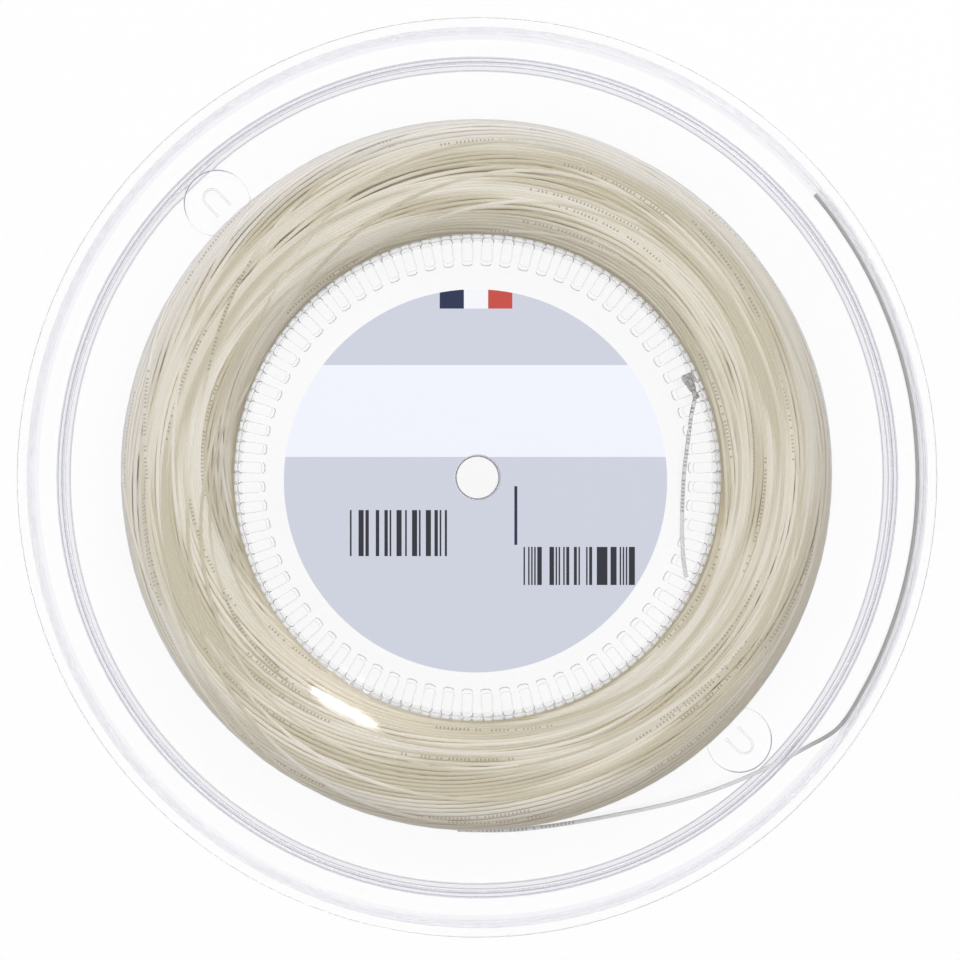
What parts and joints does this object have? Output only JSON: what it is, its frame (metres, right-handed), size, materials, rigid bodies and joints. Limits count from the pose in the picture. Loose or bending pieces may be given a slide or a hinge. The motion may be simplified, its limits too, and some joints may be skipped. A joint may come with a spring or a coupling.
{
  "type": "string reel",
  "caption": "Flat clear two-part reel wound with racket string, with a toothed hub, a ring of hub windows, a centre bore, string clips and a paper label.",
  "frame": {"origin": "middle of the back half's flat outer face, which the reel lies on", "axes": "+Z along the reel's axis from the back to the labelled front, +Y towards the label's top, +X to the right as the front is seen"},
  "size_m": [0.28, 0.28, 0.0281],
  "materials": {
    "clear_shell": "gloss",
    "label_paper": "satin",
    "wound_string": "satin",
    "free_string": "gloss"
  },
  "bodies": {
    "root": {"front_half": "clear_shell", "back_half": "clear_shell", "front_label": "label_paper", "string_core": "wound_string", "string_winding": "wound_string", "string_outer_end": "free_string", "string_inner_end": "free_string", "string_knot": "free_string"}
  },
  "joints": []
}
